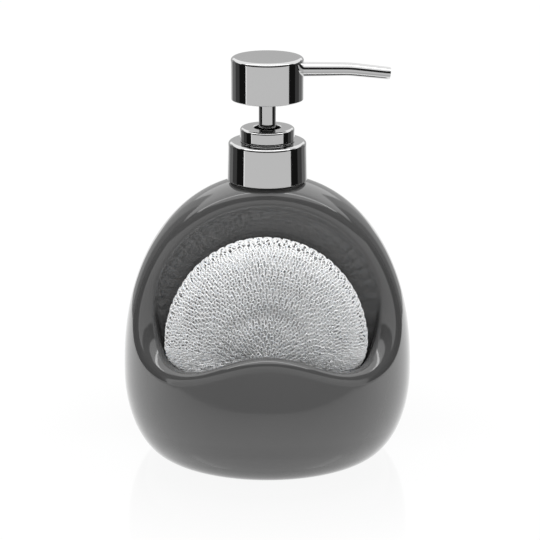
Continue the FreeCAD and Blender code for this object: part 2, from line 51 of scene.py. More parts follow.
# Ceramic egg, millimetres, as in the part's source. The rims are widths of a blend
EGG_WIDTH, EGG_DEPTH = 120.0, 102.0
BELLY, FOOT, EGG_TOP, CROWN_POWER = 35.5, 42.0, 118.7, 2.21
LAND, MOUTH = 117.2, 9.7
WALL, SOAP_CEILING = 4.5, 110.0
RECESS, RECESS_DEPTH = 36.0, 1.5
CUT_FACE, CUT_SHOULDER, CUT_TURN = 16.5, 80.0, 44.5
LIP, LIP_WAVE, LIP_WAVE_HALF = 45.8, 11.0, 42.0
NICHE_WIDTH, NICHE_HEIGHT, NICHE_CENTRE = 90.0, 85.0, 66.0
NICHE_MOUTH, NICHE_FRONT, NICHE_BACK = 17.0, 43.0, 11.5
NICHE_FRONT_POWER, NICHE_BACK_POWER = 2.8, 2.5
PARTITION = 4.0
RIM_OUTER, RIM_INNER = 4.4, 3.8
CLAY_GRID = 1.15

# Other blends of the egg, millimetres, and the least slopes that keep its fields calm
LAND_EDGE, RECESS_EDGE, MOUTH_EDGE = 0.8, 0.8, 1.0
PARTITION_EDGE, CEILING_EDGE, MOUTH_OVERLAP = 5.0, 3.0, 4.0
CROWN_CALM, HIP_CALM, NICHE_CALM = 0.004, 0.03, 0.01

# Bare clay under the foot: height in metres, and how far its faces look down
FOOT_LEVEL, FOOT_FACING = 0.0004, -0.95

# Screw thread of the neck and collar, millimetres
PITCH = 4.23

# Knitted scrubber: millimetres, with its lean in degrees, and shares and powers of its profile
PAD_WIDTH, PAD_RISE, PAD_SAG, PAD_THICK = 82.8, 44.6, 24.5, 20.8
PAD_DIMPLE, PAD_CROWN, PAD_LEAN = 2.8, 0.55, 1.0
PAD_CENTRE = (-0.5, -24.0, 54.7)
PAD_GATHER = -8.0
PAD_SHOULDER, PAD_ROUND = 2.3, 2.1
PAD_WAVE, PAD_WAVE_TURN, PAD_WAVE_START = 0.7, 0.8, 0.3
CREASE_DEPTH, CREASE_AT, CREASE_WIDTH = 0.8, 0.40, 0.07
PROFILE_TURN = 0.8

# Knit: yarn, hem along the rim, loops, pits towards the foot, and lumps, in millimetres or shares
YARN = 0.33
HEM, HEM_CELL = 0.035, 3.6
HEM_REACH, LOOP_REACH = 1.1, 0.85
LOOP_LIFT, LOOP_UNEVEN, LOOP_DEPTH = 0.16, 0.18, 0.3
LOOP_LEAST, LOOP_SPREAD, LOOP_SWING = 0.8, 0.4, 0.9
SWAY, SWAY_WAVES, SWAY_START = 0.6, 5, 6
PIT_DEPTH, PIT_SHARE, PIT_LEVEL = 0.8, 0.33, 0.25
LUMPS, LUMP_WAVES, LUMP_SLANT, LUMP_START = 12, (2, 13), 26, 6.28
LUMP_CALM, LUMP_LEAST, LUMP_FOOT = 4, 0.35, 0.3
LUMP_DEPTH, LUMP_PULL = 0.3, 0.2


# Material helpers

def value_group(name, inputs, outputs):
    """Empty shader node group with named sockets: (name, type, default) in, (name, type) out."""
    group = bpy.data.node_groups.new(name, "ShaderNodeTree")
    for label, kind, default in inputs:
        socket = group.interface.new_socket(name=label, in_out="INPUT", socket_type=kind)
        socket.default_value = default
    for label, kind in outputs:
        group.interface.new_socket(name=label, in_out="OUTPUT", socket_type=kind)
    return group, group.nodes.new("NodeGroupInput"), group.nodes.new("NodeGroupOutput")


def computed(tree, operation, *values):
    """Output of a Math node on sockets or plain numbers."""
    node = tree.nodes.new("ShaderNodeMath")
    node.operation = operation
    for socket, value in zip(node.inputs, values):
        if isinstance(value, float):
            socket.default_value = value
        else:
            tree.links.new(value, socket)
    return node.outputs[0]


def ranged(tree, value, start, end):
    """Output of a Map Range node that takes the span start to the span end."""
    node = tree.nodes.new("ShaderNodeMapRange")
    for label, number in zip(("From Min", "From Max", "To Min", "To Max"), (*start, *end)):
        node.inputs[label].default_value = number
    tree.links.new(value, node.inputs["Value"])
    return node.outputs["Result"]


def blended(tree, share, first, second):
    """Output of a Mix Shader node."""
    node = tree.nodes.new("ShaderNodeMixShader")
    for socket, value in zip(node.inputs, (share, first, second)):
        tree.links.new(value, socket)
    return node.outputs["Shader"]


def from_origin(tree, operation):
    """Vector Math node on the way from the object's own origin."""
    place = tree.nodes.new("ShaderNodeTexCoord")
    node = tree.nodes.new("ShaderNodeVectorMath")
    node.operation = operation
    tree.links.new(place.outputs["Object"], node.inputs[0])
    return node


def object_noise(tree, scale, detail):
    """Noise node in the object's own coordinates, with its scale from a socket."""
    place = tree.nodes.new("ShaderNodeTexCoord")
    noise = tree.nodes.new("ShaderNodeTexNoise")
    noise.inputs["Detail"].default_value = detail
    tree.links.new(place.outputs["Object"], noise.inputs["Vector"])
    tree.links.new(scale, noise.inputs["Scale"])
    return noise


def handling_marks():
    """Soft cloudy marks and fine scuffs that change the roughness of a polished surface."""
    group, start, end = value_group(
        "handling_marks",
        [("Scale", "NodeSocketFloat", 60.0), ("Base", "NodeSocketFloat", 0.08),
         ("Spread", "NodeSocketFloat", 0.05)],
        [("Roughness", "NodeSocketFloat")])
    cloud = object_noise(group, start.outputs["Scale"], 5.0)
    cloud.inputs["Roughness"].default_value = 0.6
    mark_span = (0.38, 0.72)
    mark = ranged(group, cloud.outputs["Fac"], mark_span, (0.0, 1.0))
    rough = computed(group, "MULTIPLY_ADD", mark, start.outputs["Spread"], start.outputs["Base"])
    group.links.new(rough, end.inputs["Roughness"])
    return group


def tone_drift():
    """A colour that drifts between two tones in soft patches."""
    group, start, end = value_group(
        "tone_drift",
        [("Tone A", "NodeSocketColor", (0.5, 0.5, 0.5, 1)),
         ("Tone B", "NodeSocketColor", (0.6, 0.6, 0.6, 1)), ("Scale", "NodeSocketFloat", 30.0)],
        [("Color", "NodeSocketColor")])
    link = group.links.new
    patches = object_noise(group, start.outputs["Scale"], 3.0)
    blend = group.nodes.new("ShaderNodeMix")
    blend.data_type = "RGBA"
    link(patches.outputs["Fac"], blend.inputs["Factor"])
    link(start.outputs["Tone A"], blend.inputs["A"])
    link(start.outputs["Tone B"], blend.inputs["B"])
    link(blend.outputs["Result"], end.inputs["Color"])
    return group


def surface_grain():
    """Fine height for a bump: moulded grain, glaze ripple or yarn fuzz by its scale."""
    group, start, end = value_group(
        "surface_grain", [("Scale", "NodeSocketFloat", 400.0)], [("Height", "NodeSocketFloat")])
    grain = object_noise(group, start.outputs["Scale"], 2.0)
    group.links.new(grain.outputs["Fac"], end.inputs["Height"])
    return group


MARKS = handling_marks()
DRIFT = tone_drift()
GRAIN = surface_grain()


def finish(name, tones, drift=30.0, rough=(0.3, 0.1), marks=60.0, grain=400.0, bump=0.05,
           depth=0.0002, **shader):
    """Material from the shared groups, with the shader's constants set on its own sockets."""
    material = bpy.data.materials.new(name)
    material.use_nodes = True
    tree = material.node_tree
    skin = tree.nodes["Principled BSDF"]
    link = tree.links.new

    def placed(group, **values):
        node = tree.nodes.new("ShaderNodeGroup")
        node.node_tree = group
        for label, value in values.items():
            node.inputs[label.replace("_", " ")].default_value = value
        return node

    colour = placed(DRIFT, Tone_A=(*tones[0], 1), Tone_B=(*tones[1], 1), Scale=drift)
    link(colour.outputs["Color"], skin.inputs["Base Color"])
    wear = placed(MARKS, Scale=marks, Base=rough[0], Spread=rough[1])
    link(wear.outputs["Roughness"], skin.inputs["Roughness"])
    texture = placed(GRAIN, Scale=grain)
    relief = tree.nodes.new("ShaderNodeBump")
    relief.inputs["Strength"].default_value = bump
    relief.inputs["Distance"].default_value = depth
    link(texture.outputs["Height"], relief.inputs["Height"])
    link(relief.outputs["Normal"], skin.inputs["Normal"])
    for label, value in shader.items():
        skin.inputs[label.replace("_", " ")].default_value = value
    return material


def grey(level, warm=0.0):
    """A grey tone, leaning to red by warm."""
    return (level + warm, level, level - warm)


GLAZE = finish("grey_glaze", (grey(0.058), grey(0.066)), drift=18.0, rough=(0.10, 0.05), marks=40.0,
               grain=130.0, bump=0.02, depth=0.0003, Coat_Weight=0.9, Coat_Roughness=0.05, IOR=1.66)
BISQUE = finish("bare_foot", (grey(0.34, 0.02), grey(0.42, 0.02)), rough=(0.7, 0.15),
                grain=900.0, bump=0.3)
CHROME = finish("chrome_plate", (grey(0.74), grey(0.78)), rough=(0.035, 0.035), marks=90.0,
                grain=60.0, bump=0.01, Metallic=1.0)
BLACK_PLASTIC = finish("black_moulding", (grey(0.012), grey(0.018)), rough=(0.38, 0.15),
                       grain=1500.0, bump=0.08)
WHITE_PLASTIC = finish("white_moulding", (grey(0.70, 0.01), grey(0.76, 0.01)), rough=(0.4, 0.1),
                       grain=1200.0, bump=0.06)
CLEAR_PLASTIC = finish("natural_moulding", (grey(0.62), grey(0.70)), rough=(0.3, 0.1),
                       grain=900.0, bump=0.05, Subsurface_Weight=0.15)
RUBBER = finish("soft_washer", (grey(0.45, 0.01), grey(0.52, 0.01)), rough=(0.65, 0.15),
                grain=1800.0, bump=0.1)
STEEL = finish("spring_steel", (grey(0.50), grey(0.58)), rough=(0.2, 0.1),
               grain=700.0, bump=0.05, Metallic=1.0)
NET = finish("net_yarn", (grey(0.80), grey(0.88)), drift=220.0, rough=(0.5, 0.2),
             grain=2600.0, bump=0.12, Sheen_Weight=0.15, Subsurface_Weight=0.1)
NET_INSIDE = finish("net_layers", (grey(0.76), grey(0.88)), drift=420.0, rough=(0.7, 0.2),
                    grain=620.0, bump=0.9, depth=0.0012)


# Mesh helpers

def mesh_piece(name, points, faces, material, body, smooth_angle=40.0):
    """Mesh object from millimetre points, smooth below an angle, riding on a body."""
    mesh = bpy.data.meshes.new(name)
    mesh.from_pydata([tuple(c * MM for c in p) for p in points], [], faces)
    mesh.validate()
    mesh.update()
    mesh.polygons.foreach_set("use_smooth", [True] * len(mesh.polygons))
    if smooth_angle:
        mesh.set_sharp_from_angle(angle=math.radians(smooth_angle))
    mesh.materials.append(material)
    piece = bpy.data.objects.new(name, mesh)
    bpy.context.scene.collection.objects.link(piece)
    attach(piece, body)
    return piece


def rounded(corners, steps=6):
    """Closed (radius, height) outline in which a corner with a third value is rounded by it."""
    outline = []
    count = len(corners)
    for i, corner in enumerate(corners):
        here = Vector(corner[:2])
        if len(corner) < 3:
            outline.append(tuple(here))
            continue
        rounding = corner[2]
        a = (Vector(corners[i - 1][:2]) - here).normalized()
        b = (Vector(corners[(i + 1) % count][:2]) - here).normalized()
        half = a.angle(b) / 2
        reach = rounding / math.tan(half)
        centre = here + (a + b).normalized() * (rounding / math.sin(half))
        first = here + a * reach - centre
        last = here + b * reach - centre
        sweep = first.angle_signed(last)
        for k in range(steps + 1):
            turn = -sweep * k / steps
            c, s = math.cos(turn), math.sin(turn)
            outline.append((centre.x + first.x * c - first.y * s,
                            centre.y + first.x * s + first.y * c))
    return outline


def held_flat(outline, hold=0.12, long_run=6):
    """Outline with a point near each end of its long runs, which keeps them flat when smooth."""
    out = []
    for i, here in enumerate(outline):
        after = Vector(outline[(i + 1) % len(outline)])
        run = after - Vector(here)
        out.append(here)
        if run.length > long_run * hold:
            step = run.normalized() * hold
            out.append(tuple(Vector(here) + step))
            out.append(tuple(after - step))
    return out


def turned(name, corners, material, body, segments=144):
    """Closed ring or cap turned about the pump axis. Corners on the axis close it."""
    points = []
    rows = []
    for r, z in held_flat(rounded(corners)):
        if r < TINY:
            rows.append([len(points)] * segments)
            points.append((0.0, 0.0, z))
            continue
        rows.append(list(range(len(points), len(points) + segments)))
        for k in range(segments):
            turn = 2 * math.pi * k / segments
            points.append((r * math.cos(turn), r * math.sin(turn), z))
    faces = []
    for i, row in enumerate(rows):
        after = rows[(i + 1) % len(rows)]
        if row[0] == row[1] and after[0] == after[1]:
            continue
        for k in range(segments):
            m = (k + 1) % segments
            corner_ring = [row[k], row[m], after[m], after[k]]
            faces.append(list(dict.fromkeys(corner_ring)))
    return mesh_piece(name, points, faces, material, body, smooth_angle=32.0)


def swept(name, centres, tangents, radii, inner, material, body, segments=48):
    """Open-ended tube along a path in the XZ plane, with its bore."""
    points = []
    rings = []

    def ring(centre, along, radius):
        up = Vector((-along[2], 0, along[0]))
        side = Vector((0, 1, 0))
        start = len(points)
        for k in range(segments):
            turn = 2 * math.pi * k / segments
            spoke = side * math.cos(turn) + up * math.sin(turn)
            points.append(tuple(Vector(centre) + spoke * radius))
        rings.append(list(range(start, start + segments)))

    for c, t, r in zip(centres, tangents, radii):
        ring(c, t, r)
    for c, t, r in reversed(list(zip(centres, tangents, inner))):
        ring(c, t, r)
    faces = []
    for i in range(len(rings)):
        a, b = rings[i], rings[(i + 1) % len(rings)]
        for k in range(segments):
            m = (k + 1) % segments
            faces.append([a[k], a[m], b[m], b[k]])
    return mesh_piece(name, points, faces, material, body)


# Glazed egg as one signed field: negative inside the clay

def soft_max(a, b, k):
    """The larger of two fields, blended where they are closer than k."""
    h = np.maximum(k - np.abs(a - b), 0.0) / k
    return np.maximum(a, b) + h * h * k * 0.25


def egg_field(x, y, z, width, depth, foot, floor, belly, top):
    """Near-distance to an egg that stands on a flat foot."""
    q = depth / width
    radius = width / 2
    r = np.sqrt(x * x + (y / q) ** 2) + TINY
    lean = np.sqrt(x * x + (y / q / q) ** 2) / r
    p = CROWN_POWER
    h = np.maximum(z - belly, 0.0) / (top - belly)
    u = r / radius
    crown = u ** p + h ** p - 1
    slope = np.sqrt((p * u ** (p - 1) / radius * lean) ** 2
                    + (p * h ** (p - 1) / (top - belly)) ** 2)
    upper = crown / np.maximum(slope, CROWN_CALM)
    a = np.maximum(r - foot, 0.0) / (radius - foot)
    b = np.maximum(belly - z, 0.0) / (belly - floor)
    hip = a * a + b * b - 1
    slope = np.sqrt((2 * a / (radius - foot) * lean) ** 2 + (2 * b / (belly - floor)) ** 2)
    lower = hip / np.maximum(slope, HIP_CALM)
    body = np.where(z >= belly, upper, lower)
    return np.maximum(body, floor - z)


def cut_field(x, y, z):
    """Positive in front of and above the wavy cut."""
    share = np.minimum(np.abs(x) / LIP_WAVE_HALF, 1.0)
    rise = LIP_WAVE * (1 + np.cos(np.pi * share)) / 2
    tilt = LIP_WAVE * np.pi / (2 * LIP_WAVE_HALF) * np.sin(np.pi * share)
    run, height = CUT_TURN - CUT_FACE, CUT_SHOULDER - LIP
    k = (run + height) / 2
    sa, sb = k / run, k / height
    a = (-CUT_FACE - y) * sa
    b = (z - rise - LIP) * sb
    h = np.maximum(k - np.abs(a - b), 0.0) / k
    field = np.minimum(a, b) - h * h * k * 0.25
    near, far = 1 - h / 2, h / 2
    wa = np.where(a < b, near, far) * sa
    wb = np.where(a < b, far, near) * sb
    return field / np.sqrt(wa * wa + wb * wb * (1 + tilt * tilt))


def niche_field(x, y, z):
    """Negative inside the bowl behind the cut."""
    ru, rv = NICHE_WIDTH / 2, NICHE_HEIGHT / 2
    rho = np.sqrt((x / ru) ** 2 + ((z - NICHE_CENTRE) / rv) ** 2) + TINY
    lean = np.sqrt((x / ru / ru) ** 2 + ((z - NICHE_CENTRE) / rv / rv) ** 2) / rho
    d = y + NICHE_MOUTH

    def half(reach, power):
        v = np.abs(d) / reach
        f = rho ** power + v ** power - 1
        g = np.sqrt((power * rho ** (power - 1) * lean) ** 2
                    + (power * v ** (power - 1) / reach) ** 2)
        return f / np.maximum(g, NICHE_CALM)

    return np.where(d < 0, half(NICHE_FRONT - NICHE_MOUTH, NICHE_FRONT_POWER),
                    half(NICHE_MOUTH - NICHE_BACK, NICHE_BACK_POWER))


def soap_field(x, y, z):
    """Negative inside the soap space and its mouth."""
    space = egg_field(x, y, z, EGG_WIDTH - 2 * WALL, EGG_DEPTH - 2 * WALL, FOOT - WALL,
                      WALL + RECESS_DEPTH, BELLY, EGG_TOP - WALL)
    shelf = NICHE_CENTRE - NICHE_HEIGHT / 2 - PARTITION
    block = np.minimum(-(NICHE_BACK - PARTITION) - y, z - shelf)
    space = soft_max(space, block, PARTITION_EDGE)
    space = soft_max(space, z - SOAP_CEILING, CEILING_EDGE)
    mouth = np.maximum(np.sqrt(x * x + y * y) - MOUTH, SOAP_CEILING - MOUTH_OVERLAP - z)
    return np.minimum(space, mouth)


def clay_field(x, y, z):
    """Negative inside the clay."""
    clay = egg_field(x, y, z, EGG_WIDTH, EGG_DEPTH, FOOT, 0.0, BELLY, EGG_TOP)
    clay = soft_max(clay, z - LAND, LAND_EDGE)
    clay = soft_max(clay, cut_field(x, y, z), RIM_OUTER)
    clay = soft_max(clay, -niche_field(x, y, z), RIM_INNER)
    out = np.sqrt(x * x + (y * EGG_WIDTH / EGG_DEPTH) ** 2)
    hollow = np.maximum(out - RECESS, z - RECESS_DEPTH)
    clay = soft_max(clay, -hollow, RECESS_EDGE)
    return soft_max(clay, -soap_field(x, y, z), MOUTH_EDGE)


def field_mesh(field, low, high, step, rounds=4):
    """Quads on the zero surface of a field, each point drawn onto it."""
    axes = [np.arange(lo - 2 * step, hi + 3 * step, step) for lo, hi in zip(low, high)]
    grid = np.meshgrid(*axes, indexing="ij")
    values = field(*grid)
    inside = values < 0
    n = np.array(values.shape) - 1
    corners = [(i, j, k) for i in (0, 1) for j in (0, 1) for k in (0, 1)]

    def at(array, c):
        return array[c[0]:c[0] + n[0], c[1]:c[1] + n[1], c[2]:c[2] + n[2]]

    count = sum(at(inside, c).astype(np.int8) for c in corners)
    active = (count > 0) & (count < 8)
    number = np.full(active.shape, -1, np.int64)
    number[active] = np.arange(active.sum())
    total = np.zeros((active.sum(), 3))
    hits = np.zeros(active.sum())
    for a in corners:
        for axis in range(3):
            if a[axis]:
                continue
            b = list(a)
            b[axis] = 1
            va, vb = at(values, a)[active], at(values, b)[active]
            crossing = (va < 0) != (vb < 0)
            t = np.where(crossing, va / np.where(crossing, va - vb, 1.0), 0.0)
            spot = np.tile(np.array(a, float), (len(t), 1))
            spot[:, axis] += t
            total[crossing] += spot[crossing]
            hits[crossing] += 1
    base = np.argwhere(active)
    origin = np.array([axis[0] for axis in axes])
    points = origin + (base + total / hits[:, None]) * step
    faces = []
    for axis in range(3):
        u, v = [(1, 2), (2, 0), (0, 1)][axis]
        first = np.take(inside, range(n[axis]), axis=axis)
        second = np.take(inside, range(1, n[axis] + 1), axis=axis)
        for crossing, flip in ((first & ~second, False), (~first & second, True)):
            cells = np.argwhere(crossing)
            cu, cv = cells[:, u], cells[:, v]
            cells = cells[(cu > 0) & (cv > 0) & (cu < n[u]) & (cv < n[v])]
            ring = []
            for du, dv in ((-1, -1), (0, -1), (0, 0), (-1, 0)):
                c = cells.copy()
                c[:, u] += du
                c[:, v] += dv
                ring.append(number[c[:, 0], c[:, 1], c[:, 2]])
            faces.append(np.stack(ring[::-1] if flip else ring, axis=1))
    faces = np.concatenate(faces)
    edges = np.concatenate([faces[:, [k, (k + 1) % 4]] for k in range(4)])
    for _ in range(rounds):
        points = drawn_on(field, points, step)
        points = drawn_on(field, evened(points, edges), step)
    points = drawn_on(field, drawn_on(field, points, step), step)
    return points, faces


def gradient(field, points, reach=0.05):
    """Slope of a field at points, from its values a little ahead and behind."""
    out = np.zeros_like(points)
    for axis in range(3):
        ahead, behind = points.copy(), points.copy()
        ahead[:, axis] += reach
        behind[:, axis] -= reach
        out[:, axis] = (field(*ahead.T) - field(*behind.T)) / (2 * reach)
    return out


def drawn_on(field, points, step, calm=0.05):
    """Moves points along the field's slope onto its zero surface, by half a step at most."""
    slope = gradient(field, points)
    size = np.maximum((slope ** 2).sum(axis=1), calm)
    move = (field(*points.T) / size)[:, None] * slope
    length = np.sqrt((move ** 2).sum(axis=1))[:, None]
    return points - move * np.minimum(1.0, 0.5 * step / np.maximum(length, TINY))


def evened(points, edges):
    """Moves each point half way to the middle of its neighbours."""
    total = np.zeros_like(points)
    count = np.zeros(len(points))
    for a, b in ((0, 1), (1, 0)):
        for axis in range(3):
            total[:, axis] += np.bincount(edges[:, a], points[edges[:, b], axis], len(points))
        count += np.bincount(edges[:, a], minlength=len(points))
    return points * 0.5 + total / np.maximum(count, 1)[:, None] * 0.5


def glazed_egg():
    """Ceramic body with its soap space, glazed but for the foot it stands on."""
    half_w, half_d = EGG_WIDTH / 2, EGG_DEPTH / 2
    points, faces = field_mesh(clay_field, (-half_w, -half_d, 0), (half_w, half_d, LAND), CLAY_GRID)
    piece = mesh_piece("glazed_egg", points.tolist(), faces.tolist(), GLAZE, "caddy", 0)
    normals = gradient(clay_field, points)
    normals /= np.maximum(np.sqrt((normals ** 2).sum(axis=1)), TINY)[:, None]
    piece.data.materials.append(BISQUE)
    piece.data.normals_split_custom_set_from_vertices(normals.tolist())
    for face in piece.data.polygons:
        if face.center.z < FOOT_LEVEL and face.normal.z < FOOT_FACING:
            face.material_index = 1
    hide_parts("ceramic_body")


# Pump: corners are (radius, height, rounding), millimetres

def collar():
    """Skirt of the screw collar."""
    foot, roof, top = 117.8, 132.8, 133.7
    skirt, shoulder, hole = 16.4, 16.0, 9.45
    foot_bore, roof_bore = 15.5, 15.12
    foot_edge, top_edge, hole_edge = 0.25, 1.5, 0.2
    piece = turned("chrome_collar", [
        (foot_bore, foot), (skirt, foot, foot_edge), (shoulder, top, top_edge),
        (hole, top, hole_edge), (hole, roof), (roof_bore, roof)], CHROME, "collar")
    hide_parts("collar_shell")


def guide_ring():
    """Ring over the stem guide."""
    foot, roof, top = 133.9, 138.25, 139.35
    outside, bore, hole = 11.15, 9.25, 5.4
    foot_edge, top_edge, hole_edge = 0.2, 1.2, 0.45
    piece = turned("chrome_guide_ring", [
        (bore, foot), (outside, foot, foot_edge), (outside, top, top_edge),
        (hole, top, hole_edge), (hole, roof), (bore, roof)], CHROME, "pump")
    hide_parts("guide_ring")


def stem():
    """Sleeve round the stem."""
    foot, top, outside, bore, edge = 113.9, 157.0, 3.525, 2.9, 0.1
    piece = turned("chrome_stem", [
        (bore, foot), (outside, foot, edge), (outside, top, edge), (bore, top)],
        CHROME, "head", segments=64)
    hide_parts("stem_sleeve")


def head():
    """Cap that is pressed, open below."""
    foot, roof, top = 151.05, 166.7, 168.2
    outside, bore = 14.8, 13.6
    foot_edge, top_edge, roof_edge = 0.4, 1.5, 0.2
    piece = turned("chrome_head", [
        (0, roof), (bore, roof, roof_edge), (bore, foot), (outside, foot, foot_edge),
        (outside, top, top_edge), (0, top)], CHROME, "head")
    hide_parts("head_shell")


def nozzle():
    """Outlet that leaves the head level, bends down over a short arc and tapers to its tip."""
    root, bend, half, tip = 13.9, 33.3, 2.4, 49.5
    level, droop = 163.15, math.radians(6.1)
    taper_start, thick, thin, wall, lip = 8.0, 3.0, 2.48, 0.6, 0.15
    centres, tangents, radii, inner = [], [], [], []
    count = 40
    for i in range(count + 1):
        x = root + (tip - root) * i / count
        s = min(max((x - bend + half) / (2 * half), 0.0), 1.0)
        angle = droop * s
        if x < bend + half:
            fall = math.tan(droop) * half * s * s
        else:
            fall = math.tan(droop) * (x - bend)
        share = (x - taper_start) / (tip - taper_start)
        radius = thick + (thin - thick) * share
        centres.append((x, 0.0, level - fall))
        tangents.append((math.cos(angle), 0.0, -math.sin(angle)))
        radii.append(radius)
        inner.append(radius - wall)
    radii[-1] -= lip
    piece = swept("chrome_nozzle", centres, tangents, radii, inner, CHROME, "head")
    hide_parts("nozzle")


def thread(name, radius, depth, bottom, turns, material, body, inward=False):
    """Rounded screw thread on a cylinder, fading in and out."""
    per_turn, section, fade_steps = 72, 7, 14
    ridge, fullness = 1.9, 0.8
    count = int(per_turn * turns)
    points, faces = [], []
    for i in range(count + 1):
        turn = 2 * math.pi * i / per_turn
        fade = min(1.0, i / fade_steps, (count - i) / fade_steps)
        for k in range(section):
            share = k / (section - 1)
            bulge = math.sin(math.pi * share) ** fullness * depth * fade
            r = radius - bulge if inward else radius + bulge
            z = bottom + PITCH * i / per_turn + (share - 0.5) * ridge
            points.append((r * math.cos(turn), r * math.sin(turn), z))
    for i in range(count):
        for k in range(section - 1):
            a = i * section + k
            ring = [a, a + section, a + section + 1, a + 1]
            faces.append(ring[::-1] if inward else ring)
    return mesh_piece(name, points, faces, material, body, smooth_angle=60.0)


def spring_coil():
    """Return spring on the barrel floor under the stem plug, built at its free length."""
    radius, wire, clear, turns = 4.4, 0.45, 0.06, 6.0
    floor_level, free, stroke = 87.0, 17.5, 11.0
    per_turn, sides = 40, 12
    count = int(per_turn * turns)
    bottom = floor_level + wire + clear
    rise = free - 2 * wire - 2 * clear
    climb = rise / (2 * math.pi * turns)
    points, faces = [], []
    for i in range(count + 1):
        turn = 2 * math.pi * i / per_turn
        out = Vector((math.cos(turn), math.sin(turn), 0))
        ahead = Vector((-math.sin(turn) * radius, math.cos(turn) * radius, climb)).normalized()
        up = out.cross(ahead)
        centre = out * radius + Vector((0, 0, bottom + rise * i / count))
        for k in range(sides):
            a = 2 * math.pi * k / sides
            points.append(tuple(centre + (out * math.cos(a) + up * math.sin(a)) * wire))
    for i in range(count):
        for k in range(sides):
            m = (k + 1) % sides
            faces.append([i * sides + k, (i + 1) * sides + k,
                          (i + 1) * sides + m, i * sides + m])
    faces.append(list(range(sides)))
    faces.append([count * sides + k for k in range(sides)][::-1])
    piece = mesh_piece("spring_coil", points, faces, STEEL, "pump", smooth_angle=50.0)
    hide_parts("return_spring")
    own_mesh(piece)


# Knitted scrubber

def pad_point(turn, along, lift=0.0):
    """Point on the pad: along runs 0 to 2 from the front hollow over the rim to the back hollow."""
    front = along <= 1.0
    rho = along if front else 2.0 - along
    half = PAD_THICK / 2
    if rho < PAD_CROWN:
        height = half - PAD_DIMPLE * math.cos(math.pi / 2 * rho / PAD_CROWN) ** 2
    else:
        v = (rho - PAD_CROWN) / (1 - PAD_CROWN)
        height = half * max(1 - v ** PAD_SHOULDER, 0.0) ** (1 / PAD_ROUND)
    brim = max(0.0, (rho - PAD_CROWN) / (1 - PAD_CROWN))
    out = rho + lift * brim ** 2 / (PAD_WIDTH / 2)
    height += lift * (1 - brim ** 4)
    height += (PAD_WAVE * (1 - brim) * math.sin(3 * turn + PAD_WAVE_TURN)
               * min(1.0, rho / PAD_WAVE_START))
    crease = math.exp(-((rho - CREASE_AT) / CREASE_WIDTH) ** 2)
    height -= CREASE_DEPTH * crease * max(0.0, math.sin(turn)) ** 2
    reach = PAD_RISE if math.sin(turn) > 0 else PAD_SAG
    x = out * math.cos(turn) * PAD_WIDTH / 2
    z = out * math.sin(turn) * reach + PAD_GATHER * (1 - rho) ** 2
    y = -height if front else height
    lean = math.radians(-PAD_LEAN)
    return (PAD_CENTRE[0] + x,
            PAD_CENTRE[1] + y * math.cos(lean) - z * math.sin(lean),
            PAD_CENTRE[2] + y * math.sin(lean) + z * math.cos(lean))


def arc_shares(count):
    """Even steps along the pad's profile, as values of along."""
    fine = 400
    table = [0.0]
    spots = [pad_point(PROFILE_TURN, 2.0 * i / fine) for i in range(fine + 1)]
    for a, b in zip(spots, spots[1:]):
        table.append(table[-1] + math.dist(a, b))
    out = []
    j = 0
    for i in range(count + 1):
        want = table[-1] * i / count
        while j < fine - 1 and table[j + 1] < want:
            j += 1
        span = max(table[j + 1] - table[j], TINY)
        out.append(2.0 * (j + (want - table[j]) / span) / fine)
    return out


def lower_share(turn):
    """0 on the pad's upper part, rising to 1 at its foot."""
    return min(max(PIT_LEVEL - math.sin(turn), 0.0), 1.0)


def path_length(place, count):
    """Length of a path through count steps of place."""
    return sum(math.dist(place(i), place(i + 1)) for i in range(count))


